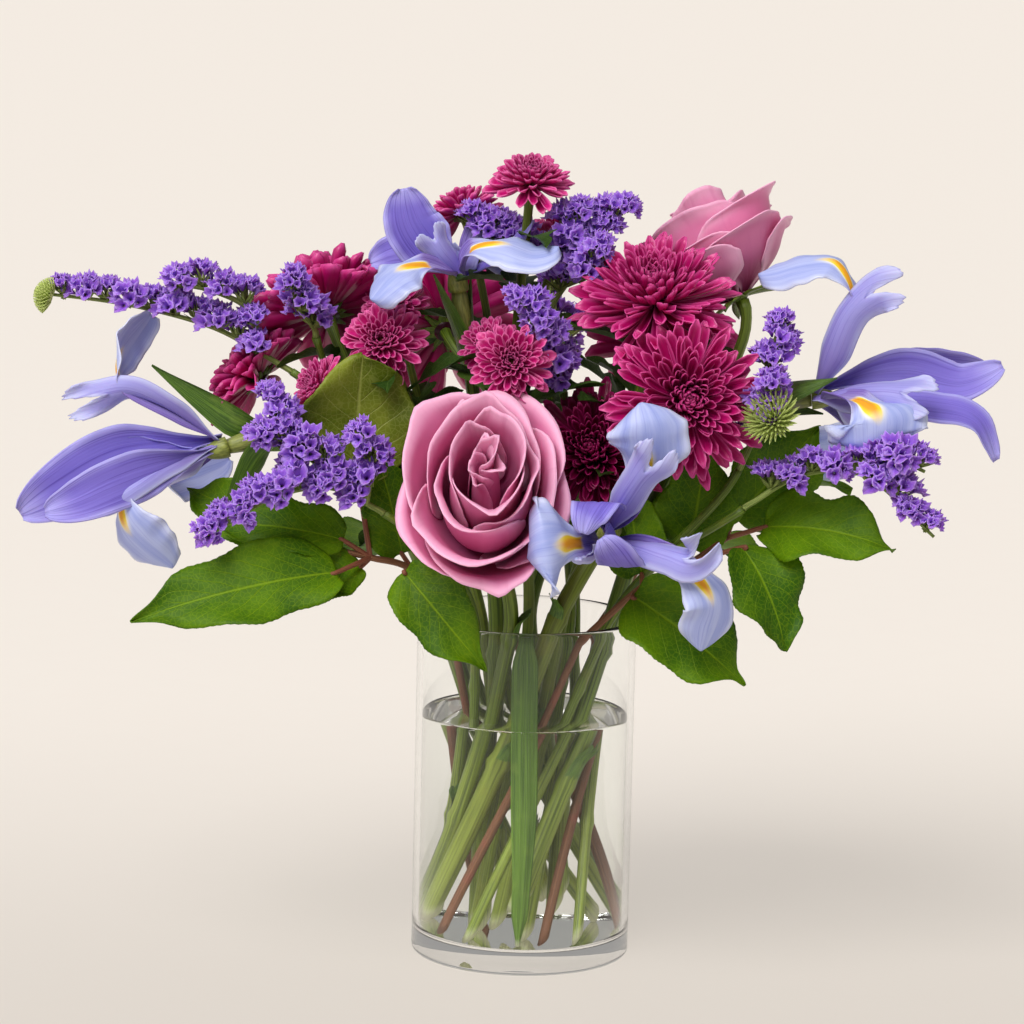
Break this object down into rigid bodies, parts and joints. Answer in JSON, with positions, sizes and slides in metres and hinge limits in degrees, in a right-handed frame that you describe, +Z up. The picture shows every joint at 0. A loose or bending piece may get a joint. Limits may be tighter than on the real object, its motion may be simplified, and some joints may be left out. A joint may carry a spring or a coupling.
{
  "type": "irises in a vase",
  "caption": "Mixed bouquet of blue-violet irises, mauve roses, magenta chrysanthemums, violet statice and green leaves in a clear glass cylinder vase of water.",
  "frame": {"origin": "centre of the vase's foot, on the table", "axes": "+Z up; -Y faces the viewer of the picture; +X to that viewer's right, along the bouquet's width"},
  "size_m": [0.444, 0.2494, 0.3699],
  "materials": {
    "glass": "clear and polished",
    "water": "clear, still water",
    "stem": "fresh green stems, satin",
    "leaf": "deep green, waxy leaf",
    "iris": "soft petals, pale blue to violet, with a yellow signal",
    "rose": "velvety mauve petals",
    "mum": "magenta petals with a paler reverse",
    "button": "magenta petals with paler edges",
    "statice": "dry, papery, violet calyces"
  },
  "bodies": {
    "root": {"vase": "glass", "water": "water", "rose_front_stem": "stem", "rose_back_stem": "stem", "mum_stem_front": "stem", "mum_stem_left": "stem", "mum_stem_back": "stem", "button_stem_left": "stem", "button_stem_crown": "stem", "button_stem_centre": "stem", "iris_left_stem": "stem", "iris_top_stem": "stem", "iris_right_stem": "stem", "iris_front_stem": "stem", "statice_left_stem": "stem", "statice_low_stem": "stem", "statice_crown_stem": "stem", "statice_right_stem": "stem", "statice_back_stem": "stem", "salal_left": "leaf", "salal_right": "leaf", "salal_back": "leaf", "salal_back_right": "leaf", "iris_strap_leaf": "leaf", "iris_left": "iris", "iris_top": "iris", "iris_right": "iris", "iris_front": "iris", "rose_front": "rose", "rose_back": "rose", "mum_top": "mum", "mum_front": "mum", "mum_dark": "mum", "mum_left": "mum", "mum_far_left": "mum", "mum_back_right": "mum", "mum_back_left": "mum", "button_left": "button", "button_side": "button", "button_under_iris": "button", "button_crown": "button", "button_crown_left": "button", "button_crown_back": "button", "button_centre": "button", "button_inner": "button", "statice_left_long": "statice", "statice_left_small": "statice", "statice_low": "statice", "statice_crown": "statice", "statice_centre": "statice", "statice_right_high": "statice", "statice_right_low": "statice", "statice_back": "statice"}
  },
  "joints": []
}
